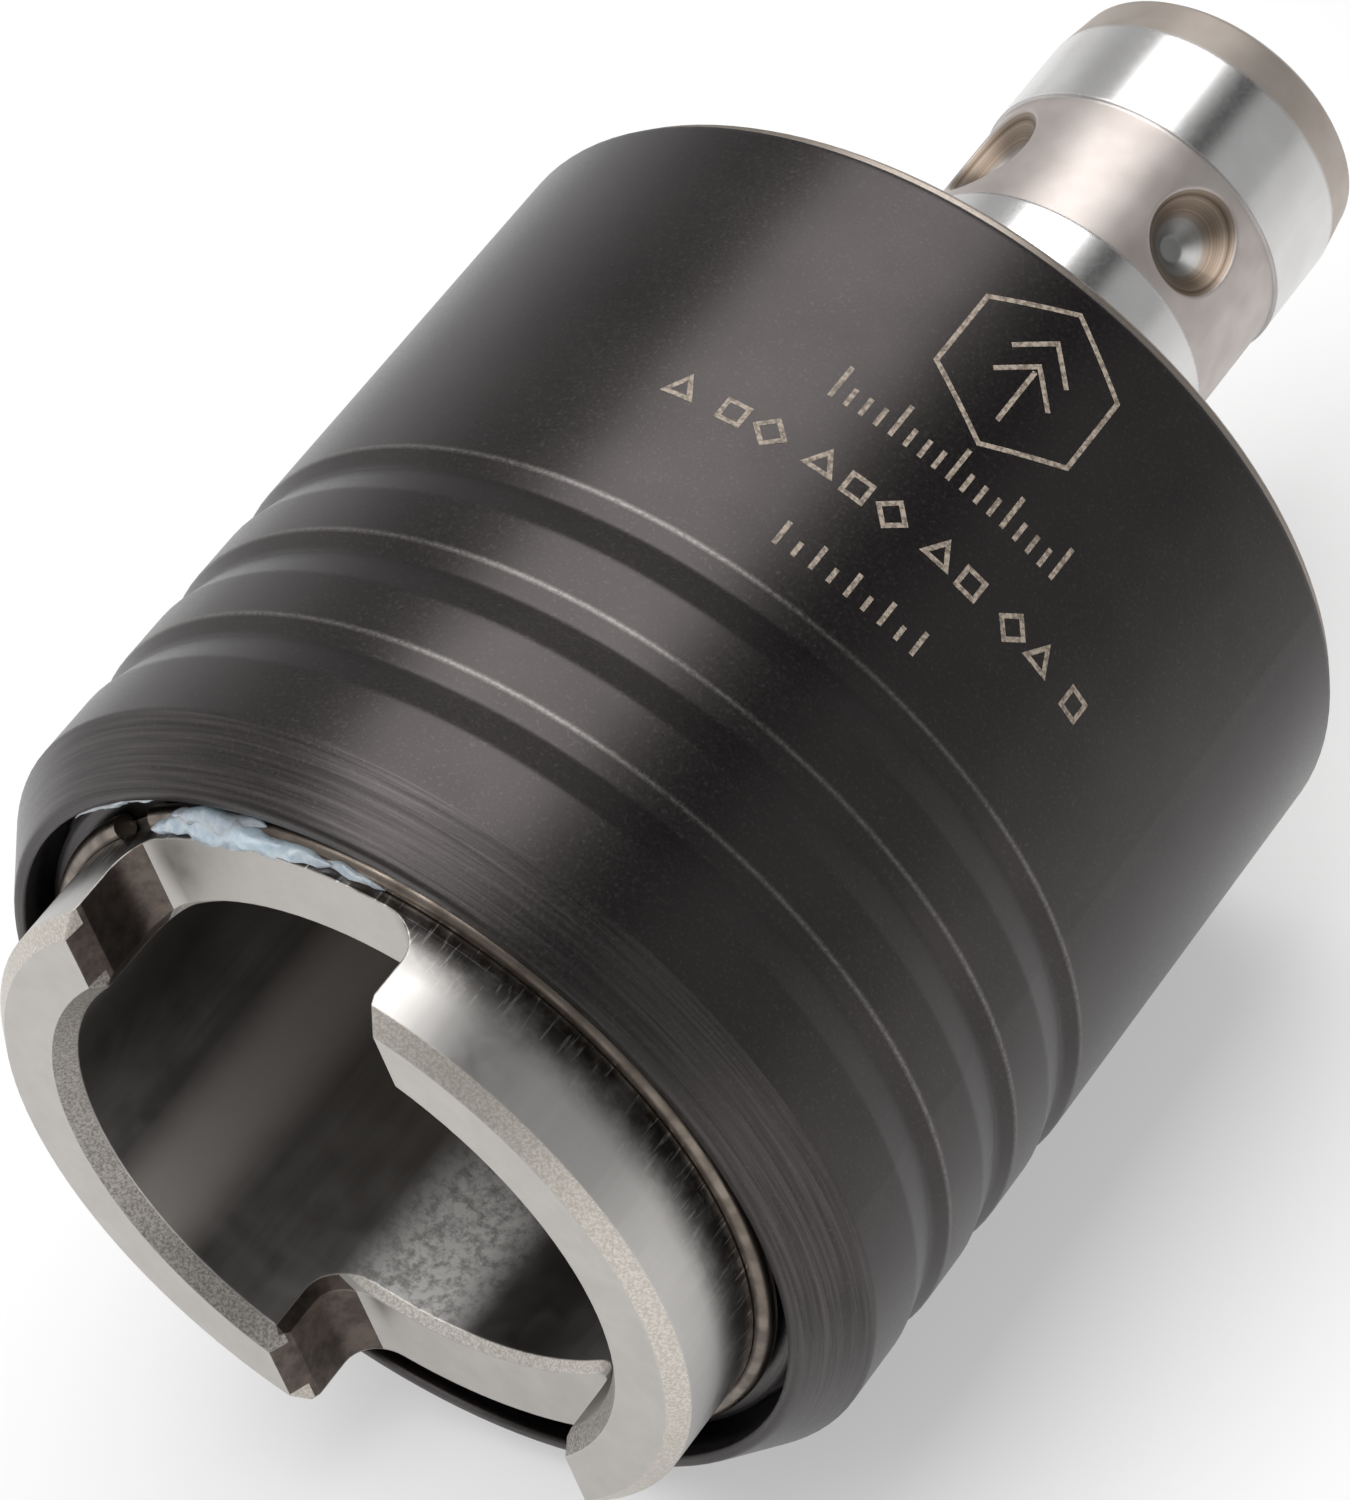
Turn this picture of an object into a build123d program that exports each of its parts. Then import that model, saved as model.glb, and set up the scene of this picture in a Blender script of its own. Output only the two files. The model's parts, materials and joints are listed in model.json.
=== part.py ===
from build123d import *
from math import cos, radians, sin, sqrt
import os

# Quick-change tapping chuck: a claw spindle with an insert bore, an axial release sleeve
# with three lock balls, and a plain shank. Millimetres.
# The chuck's axis is Y: the claws face -Y and the shank points to +Y. The origin is on the
# axis, where the wall of the insert bore is first whole all round. The claws stand at +X and -X.

# --- claw spindle -------------------------------------------------------------------------
SPINDLE_R = 20.0
BORE_R = 15.5
TIP_Y = -6.1
TIP_OUTER_CHAMFER = 0.9
TIP_INNER_CHAMFER = 0.8
TIP_INNER_CHAMFER_DEPTH = 1.1
NOTCH_FLOOR_Y = -0.5
NOTCH_HALF_WIDTH = 9.0
NOTCH_FILLET = 2.0
MOUTH_CHAMFER = 0.5
CLAW_FACET_WIDTH = 0.45
CLAW_FACET_DEPTH = 1.4
SPINDLE_END_Y = 43.1
SPINDLE_END_CHAMFER = 0.6
FRONT_LAND_END_Y = 14.6
BORE_RELIEF_R = 15.7
REAR_LAND_Y = 20.6
BORE_END_Y = 27.0
DISC_RECESS_R = 12.5
DISC_RECESS_END_Y = 30.5
HEAD_CAVITY_R = 8.0
WEB_FRONT_Y = 36.7
WEB_REAR_Y = 40.1

# --- release sleeve -----------------------------------------------------------------------
SLEEVE_R = 25.0
SLEEVE_REAR_Y = 46.1
LIP_Y = -0.25
LIP_OUTER_R = 22.9
LIP_INNER_R = 22.2
CONE_END_Y = 3.0
LIP_CHAMFER = 0.15
GROOVE_START_Y = 6.7
GROOVE_PITCH = 6.0
GROOVE_COUNT = 3
GROOVE_DEPTH = 0.5
GROOVE_RAMP = 2.1
GROOVE_WALL = 0.95
SLEEVE_EDGE_BREAK = 0.2
SLEEVE_BORE_R = 23.2
GUIDE_LAND_Y = 3.15
GUIDE_LAND_END_Y = 8.5
GUIDE_GAP = 0.08
BAND_GROOVE_Y = 4.6
BAND_GROOVE_WIDTH = 2.6
BAND_GROOVE_DEPTH = 1.0
SLEEVE_TRAVEL = 5.0

# --- ball lock ----------------------------------------------------------------------------
BALL_R = 3.0
BALL_Y = 17.5
BALL_CENTRE_R = 17.3
BALL_ANGLES = {"lock_ball_a": 0, "lock_ball_b": 120, "lock_ball_c": 240}
BALL_HOLE_GAP = 0.05
COLLAR_END_Y = 23.5
COLLAR_LAND_R = 20.35
COLLAR_CONE_END_Y = 17.9
COLLAR_CONE_START_Y = 11.9
BALL_TRAVEL_PER_SLEEVE = 0.26

# --- spring train -------------------------------------------------------------------------
FACE_GAP = 0.05
THRUST_THICKNESS = 0.8
SEAT_THICKNESS = 1.5
SEAT_LIP_LENGTH = 1.65
SEAT_LIP_THICKNESS = 0.5
RING_BORE_GAP = 0.06
SEAT_OUTER_R = 23.0
ABUTMENT_Y = 39.0
ABUTMENT_THICKNESS = 1.5
WIRE_R = 0.8
SPRING_MEAN_R = 21.75
SPRING_TURNS = 4
CIRCLIP_GROOVE_Y = 40.55
CIRCLIP_GROOVE_WIDTH = 1.3
CIRCLIP_GROOVE_DEPTH = 0.8
CIRCLIP_THICKNESS = 1.2
CIRCLIP_OUTER_R = 21.9
CIRCLIP_GAP_ANGLE = 36

# --- front rings --------------------------------------------------------------------------
SNAP_RING_Y = 0.8
SNAP_WIRE_R = 0.65
SNAP_RING_R = 20.2
SNAP_GROOVE_DEPTH = 0.5
SNAP_RING_GAP_ANGLE = 9
STOP_RING_Y = 1.5
STOP_RING_END_Y = 3.1
STOP_RING_R = 21.6

# --- rear cover ---------------------------------------------------------------------------
COVER_PLUG_Y = 43.8
COVER_END_Y = 46.8
COVER_R = 24.6
COVER_BREAK = 0.25
COVER_BORE_GAP = 0.1
SPANNER_HOLE_R = 1.25
SPANNER_HOLE_PITCH_R = 19.0
SPANNER_HOLE_DEPTH = 2.2
WIPER_GROOVE_Y = 44.5
WIPER_GROOVE_WIDTH = 1.5
WIPER_GROOVE_DEPTH = 1.6

# --- shank --------------------------------------------------------------------------------
SHANK_R = 9.0
SPIGOT_R = 10.0
BOSS_R = 13.0
BOSS_END_Y = 52.7
BOSS_CHAMFER = 1.5
NECK_FILLET = 1.2
BAND_Y = 60.3
BAND_END_Y = 68.4
BAND_DEPTH = 0.16
TAPER_Y = 74.1
SHANK_END_Y = 77.1
SHANK_END_R = 8.6
SHANK_END_ROUND = 0.4
DIMPLE_COUNT = 4
DIMPLE_PHASE = 28
DIMPLE_Y = 64.4
DIMPLE_R = 3.4
DIMPLE_FLOOR_R = 0.7
DIMPLE_DEPTH = 2.3
CENTRE_HOLE_R = 3.4
CENTRE_CONE_DEPTH = 2.0
CENTRE_PILOT_R = 1.6
CENTRE_PILOT_END_Y = 68.0

# --- screw, washer, pins, disc and seal ---------------------------------------------------
SCREW_R = 4.0
SCREW_HEAD_R = 6.5
SCREW_HEAD_Y = 30.7
SCREW_END_Y = 53.5
TAPPED_END_Y = 56.0
THREAD_GAP = 0.02
HEX_SOCKET_FLATS = 5.0
HEX_SOCKET_DEPTH = 3.0
WASHER_THICKNESS = 1.0
WASHER_R = 7.3
WASHER_SLIT = 0.8
PIN_R = 1.5
PIN_PITCH_R = 6.4
PIN_Y = 38.1
PIN_END_Y = 42.1
PIN_HOLE_EXTRA = 0.3
DISC_Y = 28.5
DISC_R = 12.4
DISC_HOLE_R = 3.0
DISC_CHAMFER = 0.4
DISC_RING_Y = 27.4
DISC_RING_THICKNESS = 1.1
DISC_RING_INNER_R = 10.6
DISC_RING_GROOVE_R = 13.1
DISC_RING_GAP_ANGLE = 30
SEAL_Y = 41.5
SEAL_WIRE_R = 0.6
SEAL_GROOVE_DEPTH = 1.3

# Values that follow from the ones above.
SEAT_Y = COLLAR_END_Y + FACE_GAP + THRUST_THICKNESS
SPRING_Y = SEAT_Y + SEAT_THICKNESS
GUIDE_LAND_R = SPINDLE_R + GUIDE_GAP
BEYOND = 5.0


def turned(points):
    """Revolve a closed outline of (radius, y) points about the chuck's axis."""
    outline = make_face(Polyline([(r, y) for r, y in points], close=True))
    return revolve(outline, Axis.Y)


def ring(inner_r, outer_r, start_y, end_y):
    """A plain ring round the chuck's axis."""
    return turned([(inner_r, start_y), (outer_r, start_y), (outer_r, end_y), (inner_r, end_y)])


def turn_to(angle):
    """Place something that lies on +X at an angle from +X towards +Z."""
    return Rot(0, -angle, 0)


def along_y(radius, start_y, end_y, x=0.0, z=0.0):
    """A cylinder parallel to the chuck's axis."""
    height = end_y - start_y
    return Pos(x, start_y + height / 2, z) * Rot(-90, 0, 0) * Cylinder(radius, height)


def polar(radius, angle):
    """X and Z of a point at a radius and an angle from +X towards +Z."""
    return radius * cos(radians(angle)), radius * sin(radians(angle))


def gap_wedge(inner_r, outer_r, start_y, end_y, angle, half_width):
    """A block that opens a ring at one angle."""
    length = outer_r - inner_r
    block = Box(length, end_y - start_y, 2 * half_width)
    return turn_to(angle) * Pos((inner_r + outer_r) / 2, (start_y + end_y) / 2, 0) * block


def notch_cutter():
    """The slot that leaves the two claws: round floor corners and steep facets at the tips."""
    half = NOTCH_HALF_WIDTH
    wide = half + CLAW_FACET_WIDTH
    with BuildSketch(Plane.XY) as section:
        with BuildLine():
            Polyline(
                (-wide, TIP_Y),
                (-half, TIP_Y + CLAW_FACET_DEPTH),
                (-half, NOTCH_FLOOR_Y),
                (half, NOTCH_FLOOR_Y),
                (half, TIP_Y + CLAW_FACET_DEPTH),
                (wide, TIP_Y),
                (wide, TIP_Y - BEYOND),
                (-wide, TIP_Y - BEYOND),
                close=True,
            )
        make_face()
        floor_corners = section.vertices().filter_by(lambda v: abs(v.Y - NOTCH_FLOOR_Y) < FACE_GAP)
        fillet(floor_corners, NOTCH_FILLET)
    return extrude(section.sketch, SPINDLE_R + BEYOND, both=True)


def is_mouth_edge(edge):
    """Whether an edge is where a notch's floor meets the bore."""
    middle = edge @ 0.5
    on_bore = abs(sqrt(middle.X ** 2 + middle.Z ** 2) - BORE_R) < FACE_GAP
    return on_bore and abs(middle.Y - NOTCH_FLOOR_Y) < FACE_GAP


def ball_pocket(angle):
    """A radial hole whose inner end is a spherical seat, so the ball can't fall through."""
    pocket_r = BALL_R + BALL_HOLE_GAP
    seat = Pos(BALL_CENTRE_R, BALL_Y, 0) * Sphere(pocket_r)
    drill = Pos(BALL_CENTRE_R + BEYOND / 2, BALL_Y, 0) * Rot(0, 90, 0) * Cylinder(pocket_r, BEYOND)
    return turn_to(angle) * (seat + drill)


def pin_places():
    """X and Z of the two dowel pins."""
    return [polar(PIN_PITCH_R, angle) for angle in (0, 180)]


def make_claw_spindle():
    """Hardened tube with two claws, insert bore, ball pockets and a web for the shank screw."""
    snap_y = SNAP_RING_Y - SNAP_WIRE_R
    snap_end = SNAP_RING_Y + SNAP_WIRE_R
    snap_r = SPINDLE_R - SNAP_GROOVE_DEPTH
    clip_r = SPINDLE_R - CIRCLIP_GROOVE_DEPTH
    clip_end = CIRCLIP_GROOVE_Y + CIRCLIP_GROOVE_WIDTH
    body = turned([
        (BORE_R + TIP_INNER_CHAMFER, TIP_Y),
        (SPINDLE_R - TIP_OUTER_CHAMFER, TIP_Y),
        (SPINDLE_R, TIP_Y + TIP_OUTER_CHAMFER),
        (SPINDLE_R, snap_y),
        (snap_r, snap_y),
        (snap_r, snap_end),
        (SPINDLE_R, snap_end),
        (SPINDLE_R, CIRCLIP_GROOVE_Y),
        (clip_r, CIRCLIP_GROOVE_Y),
        (clip_r, clip_end),
        (SPINDLE_R, clip_end),
        (SPINDLE_R, SPINDLE_END_Y - SPINDLE_END_CHAMFER),
        (SPINDLE_R - SPINDLE_END_CHAMFER, SPINDLE_END_Y),
        (SPIGOT_R, SPINDLE_END_Y),
        (SPIGOT_R, WEB_REAR_Y),
        (SCREW_R + THREAD_GAP, WEB_REAR_Y),
        (SCREW_R + THREAD_GAP, WEB_FRONT_Y),
        (HEAD_CAVITY_R, WEB_FRONT_Y),
        (HEAD_CAVITY_R, DISC_RECESS_END_Y),
        (DISC_RECESS_R, DISC_RECESS_END_Y),
        (DISC_RECESS_R, DISC_Y),
        (DISC_RING_GROOVE_R, DISC_Y),
        (DISC_RING_GROOVE_R, DISC_RING_Y),
        (DISC_RECESS_R, DISC_RING_Y),
        (DISC_RECESS_R, BORE_END_Y),
        (BORE_R, BORE_END_Y),
        (BORE_R, REAR_LAND_Y),
        (BORE_RELIEF_R, REAR_LAND_Y),
        (BORE_RELIEF_R, FRONT_LAND_END_Y),
        (BORE_R, FRONT_LAND_END_Y),
        (BORE_R, TIP_Y + TIP_INNER_CHAMFER_DEPTH),
    ])
    body -= notch_cutter()
    body = chamfer(body.edges().filter_by(is_mouth_edge), MOUTH_CHAMFER)
    for angle in BALL_ANGLES.values():
        body -= ball_pocket(angle)
    for x, z in pin_places():
        body -= along_y(PIN_R, PIN_Y, WEB_REAR_Y + BEYOND / 10, x, z)
    return body


def make_shank():
    """Ground shank with a recessed matt band, ball dimples, a guide boss and a spigot."""
    spigot_groove_r = SPIGOT_R - SEAL_GROOVE_DEPTH
    seal_half = SEAL_WIRE_R + FACE_GAP
    round_r = SHANK_END_R - SHANK_END_ROUND
    body = turned([
        (SCREW_R + THREAD_GAP, WEB_REAR_Y),
        (SPIGOT_R - THREAD_GAP, WEB_REAR_Y),
        (SPIGOT_R - THREAD_GAP, SEAL_Y - seal_half),
        (spigot_groove_r, SEAL_Y - seal_half),
        (spigot_groove_r, SEAL_Y + seal_half),
        (SPIGOT_R - THREAD_GAP, SEAL_Y + seal_half),
        (SPIGOT_R - THREAD_GAP, SPINDLE_END_Y),
        (BOSS_R, SPINDLE_END_Y),
        (BOSS_R, BOSS_END_Y - BOSS_CHAMFER),
        (BOSS_R - BOSS_CHAMFER, BOSS_END_Y),
        (SHANK_R + NECK_FILLET, BOSS_END_Y),
        (SHANK_R, BOSS_END_Y + NECK_FILLET),
        (SHANK_R, BAND_Y),
        (SHANK_R - BAND_DEPTH, BAND_Y),
        (SHANK_R - BAND_DEPTH, BAND_END_Y),
        (SHANK_R, BAND_END_Y),
        (SHANK_R, TAPER_Y),
        (SHANK_END_R, SHANK_END_Y - SHANK_END_ROUND),
        (round_r, SHANK_END_Y),
        (CENTRE_HOLE_R, SHANK_END_Y),
        (CENTRE_PILOT_R, SHANK_END_Y - CENTRE_CONE_DEPTH),
        (CENTRE_PILOT_R, CENTRE_PILOT_END_Y),
        (0, CENTRE_PILOT_END_Y - CENTRE_PILOT_R / 2),
        (0, TAPPED_END_Y + SCREW_R / 2),
        (SCREW_R + THREAD_GAP, TAPPED_END_Y),
    ])
    dimple = Cone(DIMPLE_FLOOR_R, DIMPLE_R, DIMPLE_DEPTH)
    for index in range(DIMPLE_COUNT):
        angle = DIMPLE_PHASE + index * 360 / DIMPLE_COUNT
        body -= turn_to(angle) * Pos(SHANK_R - DIMPLE_DEPTH / 2, DIMPLE_Y, 0) * Rot(0, 90, 0) * dimple
    for x, z in pin_places():
        body -= along_y(PIN_R, WEB_REAR_Y - BEYOND / 10, PIN_END_Y + PIN_HOLE_EXTRA, x, z)
    return body


def make_shank_screw():
    """Low-head socket screw that draws the shank into the spindle."""
    head_end_y = WEB_FRONT_Y - WASHER_THICKNESS
    body = turned([
        (0, SCREW_HEAD_Y),
        (SCREW_HEAD_R - DISC_CHAMFER, SCREW_HEAD_Y),
        (SCREW_HEAD_R, SCREW_HEAD_Y + DISC_CHAMFER),
        (SCREW_HEAD_R, head_end_y),
        (SCREW_R, head_end_y),
        (SCREW_R, SCREW_END_Y - DISC_CHAMFER),
        (SCREW_R - DISC_CHAMFER, SCREW_END_Y),
        (0, SCREW_END_Y),
    ])
    socket = RegularPolygon(HEX_SOCKET_FLATS / 2, 6, major_radius=False)
    key = extrude(Plane.XZ * socket, HEX_SOCKET_DEPTH, both=True)
    return body - Pos(0, SCREW_HEAD_Y, 0) * key


def make_lock_washer():
    """Split spring washer under the screw's head."""
    start_y = WEB_FRONT_Y - WASHER_THICKNESS
    washer = ring(SCREW_R + 2 * FACE_GAP, WASHER_R, start_y, WEB_FRONT_Y)
    return washer - gap_wedge(SCREW_R - 1, WASHER_R + 1, start_y, WEB_FRONT_Y, 45, WASHER_SLIT / 2)


def make_drive_pins():
    """Two dowel pins that carry the torque from the shank to the spindle."""
    return [along_y(PIN_R - THREAD_GAP, PIN_Y, PIN_END_Y, x, z) for x, z in pin_places()]


def make_bore_stop_disc():
    """Disc at the bottom of the insert bore, with a vent hole."""
    return turned([
        (DISC_HOLE_R, DISC_Y),
        (DISC_R - DISC_CHAMFER, DISC_Y),
        (DISC_R, DISC_Y + DISC_CHAMFER),
        (DISC_R, DISC_RECESS_END_Y),
        (DISC_HOLE_R, DISC_RECESS_END_Y),
    ])


def make_disc_snap_ring():
    """Internal snap ring that keeps the stop disc in."""
    outer_r = DISC_RING_GROOVE_R - FACE_GAP
    end_y = DISC_RING_Y + DISC_RING_THICKNESS
    body = ring(DISC_RING_INNER_R, outer_r, DISC_RING_Y, end_y)
    half = DISC_RING_INNER_R * sin(radians(DISC_RING_GAP_ANGLE / 2))
    return body - gap_wedge(DISC_RING_INNER_R - 2, outer_r + 1, DISC_RING_Y, end_y, 270, half)


def make_shank_seal():
    """O-ring on the shank's spigot."""
    return wire_ring(SPIGOT_R - SEAL_WIRE_R - FACE_GAP, SEAL_WIRE_R, SEAL_Y)


def wire_ring(centre_r, wire_r, y):
    """A full ring of round section."""
    return revolve(Pos(centre_r, y) * Circle(wire_r), Axis.Y)


def make_front_snap_ring():
    """Round-wire snap ring in the spindle's front groove, open at one place."""
    body = wire_ring(SNAP_RING_R, SNAP_WIRE_R - THREAD_GAP, SNAP_RING_Y)
    half = SNAP_RING_R * sin(radians(SNAP_RING_GAP_ANGLE / 2))
    start_y = SNAP_RING_Y - 1
    return body - gap_wedge(SNAP_RING_R - 2, SNAP_RING_R + 2, start_y, start_y + 2, 118, half)


def make_stop_ring():
    """Flat ring behind the snap ring that the sleeve comes to rest against."""
    return ring(SPINDLE_R + RING_BORE_GAP, STOP_RING_R, STOP_RING_Y, STOP_RING_END_Y)


def grip_groove(index):
    """Outline points of one grip groove: a shallow ramp, then a steep wall."""
    start_y = GROOVE_START_Y + index * GROOVE_PITCH
    return [
        (SLEEVE_R, start_y),
        (SLEEVE_R - GROOVE_DEPTH, start_y + GROOVE_RAMP),
        (SLEEVE_R, start_y + GROOVE_RAMP + GROOVE_WALL),
    ]


def make_release_sleeve():
    """Outer sleeve with a front cone, three grip grooves and a guide land inside."""
    outline = [
        (LIP_INNER_R, LIP_Y),
        (LIP_OUTER_R - LIP_CHAMFER, LIP_Y),
        (LIP_OUTER_R, LIP_Y + LIP_CHAMFER),
        (SLEEVE_R, CONE_END_Y),
    ]
    for index in range(GROOVE_COUNT):
        outline += grip_groove(index)
    band_r = GUIDE_LAND_R + BAND_GROOVE_DEPTH
    band_end_y = BAND_GROOVE_Y + BAND_GROOVE_WIDTH
    outline += [
        (SLEEVE_R, SLEEVE_REAR_Y - SLEEVE_EDGE_BREAK),
        (SLEEVE_R - SLEEVE_EDGE_BREAK, SLEEVE_REAR_Y),
        (SLEEVE_BORE_R, SLEEVE_REAR_Y),
        (SLEEVE_BORE_R, GUIDE_LAND_END_Y),
        (GUIDE_LAND_R, GUIDE_LAND_END_Y),
        (GUIDE_LAND_R, band_end_y),
        (band_r, band_end_y),
        (band_r, BAND_GROOVE_Y),
        (GUIDE_LAND_R, BAND_GROOVE_Y),
        (GUIDE_LAND_R, GUIDE_LAND_Y),
        (LIP_INNER_R, GUIDE_LAND_Y),
    ]
    return turned(outline)


def make_guide_band():
    """Bronze band in the sleeve's guide land that runs on the spindle."""
    inner_r = SPINDLE_R + FACE_GAP
    outer_r = GUIDE_LAND_R + BAND_GROOVE_DEPTH
    return ring(inner_r, outer_r, BAND_GROOVE_Y, BAND_GROOVE_Y + BAND_GROOVE_WIDTH)


def make_lock_collar():
    """Hardened ring in the sleeve: its cone lets the balls out as the sleeve slides back."""
    cone_rise = (COLLAR_CONE_END_Y - COLLAR_CONE_START_Y) * BALL_TRAVEL_PER_SLEEVE
    relief_r = COLLAR_LAND_R + cone_rise
    return turned([
        (relief_r, GUIDE_LAND_END_Y),
        (SLEEVE_BORE_R, GUIDE_LAND_END_Y),
        (SLEEVE_BORE_R, COLLAR_END_Y),
        (COLLAR_LAND_R, COLLAR_END_Y),
        (COLLAR_LAND_R, COLLAR_CONE_END_Y),
        (relief_r, COLLAR_CONE_START_Y),
    ])


def make_lock_ball(angle):
    """One hardened lock ball in its pocket."""
    x, z = polar(BALL_CENTRE_R, angle)
    return Pos(x, BALL_Y, z) * Sphere(BALL_R)


def make_thrust_washer():
    """Plain washer that lets the sleeve turn against the spring."""
    start_y = COLLAR_END_Y + FACE_GAP
    return ring(SPINDLE_R + RING_BORE_GAP, SEAT_OUTER_R, start_y, start_y + THRUST_THICKNESS)


def make_spring_seat():
    """Flanged ring under the spring's front end."""
    bore_r = SPINDLE_R + RING_BORE_GAP
    lip_r = bore_r + SEAT_LIP_THICKNESS
    return turned([
        (bore_r, SEAT_Y),
        (SEAT_OUTER_R, SEAT_Y),
        (SEAT_OUTER_R, SPRING_Y),
        (lip_r, SPRING_Y),
        (lip_r, SPRING_Y + SEAT_LIP_LENGTH),
        (bore_r, SPRING_Y + SEAT_LIP_LENGTH),
    ])


def make_return_spring():
    """Compression spring of round wire between the spring seat and its abutment."""
    start_y = SPRING_Y + WIRE_R + FACE_GAP
    height = ABUTMENT_Y - WIRE_R - FACE_GAP - start_y
    pitch = height / SPRING_TURNS
    path = Helix(pitch=pitch, height=height, radius=SPRING_MEAN_R)
    section = Plane(origin=path @ 0, z_dir=path % 0) * Circle(WIRE_R)
    coil = sweep(section, path=path, is_frenet=True)
    return Pos(0, start_y, 0) * Rot(-90, 0, 0) * coil


def make_spring_abutment():
    """Ring on the spindle that the spring's rear end bears on."""
    end_y = ABUTMENT_Y + ABUTMENT_THICKNESS
    return ring(SPINDLE_R + RING_BORE_GAP, SEAT_OUTER_R - FACE_GAP, ABUTMENT_Y, end_y)


def make_rear_circlip():
    """External circlip that holds the spring's abutment."""
    start_y = CIRCLIP_GROOVE_Y + FACE_GAP
    end_y = start_y + CIRCLIP_THICKNESS
    inner_r = SPINDLE_R - CIRCLIP_GROOVE_DEPTH + FACE_GAP
    half = inner_r * sin(radians(CIRCLIP_GAP_ANGLE / 2))
    body = ring(inner_r, CIRCLIP_OUTER_R, start_y, end_y)
    return body - gap_wedge(inner_r - 2, CIRCLIP_OUTER_R + 1, start_y, end_y, 270, half)


def make_rear_cover():
    """Cover screwed into the sleeve's rear end, with two holes for a pin spanner."""
    bore_r = BOSS_R + COVER_BORE_GAP
    wiper_r = bore_r + WIPER_GROOVE_DEPTH
    wiper_end_y = WIPER_GROOVE_Y + WIPER_GROOVE_WIDTH
    body = turned([
        (bore_r, COVER_PLUG_Y),
        (SLEEVE_BORE_R, COVER_PLUG_Y),
        (SLEEVE_BORE_R, SLEEVE_REAR_Y),
        (COVER_R, SLEEVE_REAR_Y),
        (COVER_R, COVER_END_Y - COVER_BREAK),
        (COVER_R - COVER_BREAK, COVER_END_Y),
        (bore_r + COVER_BREAK, COVER_END_Y),
        (bore_r, COVER_END_Y - COVER_BREAK),
        (bore_r, wiper_end_y),
        (wiper_r, wiper_end_y),
        (wiper_r, WIPER_GROOVE_Y),
        (bore_r, WIPER_GROOVE_Y),
    ])
    for angle in (0, 180):
        x, z = polar(SPANNER_HOLE_PITCH_R, angle)
        body -= along_y(SPANNER_HOLE_R, COVER_END_Y - SPANNER_HOLE_DEPTH, COVER_END_Y + 1, x, z)
    return body


def make_wiper_ring():
    """Felt wiper between the rear cover and the shank's boss."""
    inner_r = BOSS_R + FACE_GAP
    outer_r = BOSS_R + COVER_BORE_GAP + WIPER_GROOVE_DEPTH
    return ring(inner_r, outer_r, WIPER_GROOVE_Y, WIPER_GROOVE_Y + WIPER_GROOVE_WIDTH)


def build():
    """Every sub-part by the name of its node."""
    parts = {
        "claw_spindle": make_claw_spindle(),
        "shank": make_shank(),
        "shank_screw": make_shank_screw(),
        "lock_washer": make_lock_washer(),
        "drive_pins": make_drive_pins(),
        "shank_seal": make_shank_seal(),
        "bore_stop_disc": make_bore_stop_disc(),
        "disc_snap_ring": make_disc_snap_ring(),
        "front_snap_ring": make_front_snap_ring(),
        "stop_ring": make_stop_ring(),
        "spring_abutment": make_spring_abutment(),
        "rear_circlip": make_rear_circlip(),
        "thrust_washer": make_thrust_washer(),
        "spring_seat": make_spring_seat(),
        "return_spring": make_return_spring(),
        "release_sleeve": make_release_sleeve(),
        "guide_band": make_guide_band(),
        "lock_collar": make_lock_collar(),
        "rear_cover": make_rear_cover(),
        "wiper_ring": make_wiper_ring(),
    }
    for name, angle in BALL_ANGLES.items():
        parts[name] = make_lock_ball(angle)
    return parts


def export_parts():
    """Write one STEP file for each sub-part."""
    os.makedirs("parts", exist_ok=True)
    for name, shape in build().items():
        solids = shape if isinstance(shape, list) else shape.solids()
        whole = solids[0] if len(solids) == 1 else Compound(children=list(solids))
        whole.label = name
        export_step(whole, f"parts/{name}.step")


export_parts()
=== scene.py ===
import json
import math

import bmesh
import bpy
from mathutils import Matrix, Vector, noise


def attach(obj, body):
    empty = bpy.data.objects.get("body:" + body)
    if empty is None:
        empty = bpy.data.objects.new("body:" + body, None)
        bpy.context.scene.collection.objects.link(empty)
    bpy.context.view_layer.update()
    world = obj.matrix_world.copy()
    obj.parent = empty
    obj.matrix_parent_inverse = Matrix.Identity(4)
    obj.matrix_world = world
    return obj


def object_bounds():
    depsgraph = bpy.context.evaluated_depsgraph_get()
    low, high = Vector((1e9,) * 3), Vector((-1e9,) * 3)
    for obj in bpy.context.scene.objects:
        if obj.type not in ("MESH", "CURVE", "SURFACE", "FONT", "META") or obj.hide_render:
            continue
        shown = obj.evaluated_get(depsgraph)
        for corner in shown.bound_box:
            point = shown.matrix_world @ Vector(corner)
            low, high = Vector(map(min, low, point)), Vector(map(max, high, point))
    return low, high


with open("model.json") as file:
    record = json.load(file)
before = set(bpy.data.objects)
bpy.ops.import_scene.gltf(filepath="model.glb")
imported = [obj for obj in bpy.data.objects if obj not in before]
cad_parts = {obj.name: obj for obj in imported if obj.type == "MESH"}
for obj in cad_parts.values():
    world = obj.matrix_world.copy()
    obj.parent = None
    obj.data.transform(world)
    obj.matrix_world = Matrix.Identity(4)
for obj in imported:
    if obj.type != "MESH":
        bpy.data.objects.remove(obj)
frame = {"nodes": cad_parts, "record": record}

# Quick-change tapping chuck. Lengths are written in millimetres and turned into metres by MM.
# The chuck's axis is Y: the claws face -Y, and angles run from +X towards +Z.
MM = 0.001
CAD_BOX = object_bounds()
RECORD_SLOTS = {part["node"]: part["material_slot"] for part in frame["record"]["subparts"]}

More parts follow.
